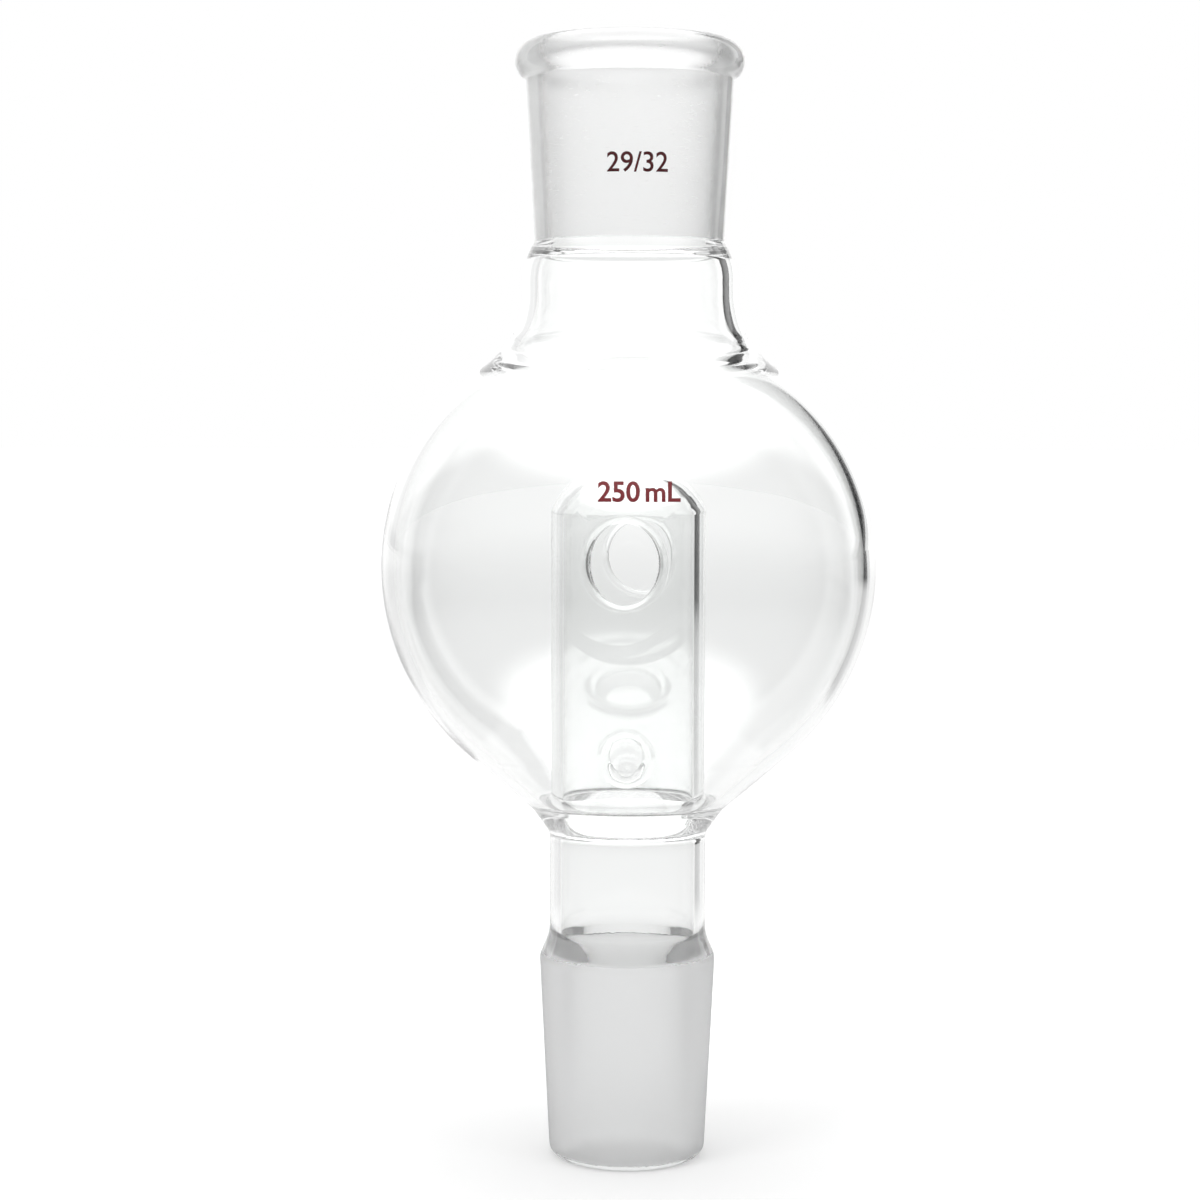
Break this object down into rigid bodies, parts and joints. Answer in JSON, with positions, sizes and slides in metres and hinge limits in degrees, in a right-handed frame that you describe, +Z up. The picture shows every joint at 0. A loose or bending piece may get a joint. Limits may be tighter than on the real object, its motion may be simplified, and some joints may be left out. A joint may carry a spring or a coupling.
{
  "type": "rotary evaporator bump trap",
  "caption": "Blown-glass bump trap: a round bulb with a domed, ported inner vapour tube, between a ground cone below and a ground socket with a rolled rim above.",
  "frame": {"origin": "middle of the flat ring of the lower tip, on which the trap stands", "axes": "+Z up along the glass's own axis, from the cone's tip to the socket's rim; -Y is the front, where the drain port and the larger vapour port are; +X to the right seen from the front"},
  "size_m": [0.0816, 0.0816, 0.1849],
  "materials": {
    "glass": "clear borosilicate, fire polished, with the two joints finely ground",
    "ground_glass": "finely ground, matt",
    "enamel": "thin fired marking enamel, dark red"
  },
  "bodies": {
    "root": {"bump_trap": "glass"}
  },
  "joints": []
}
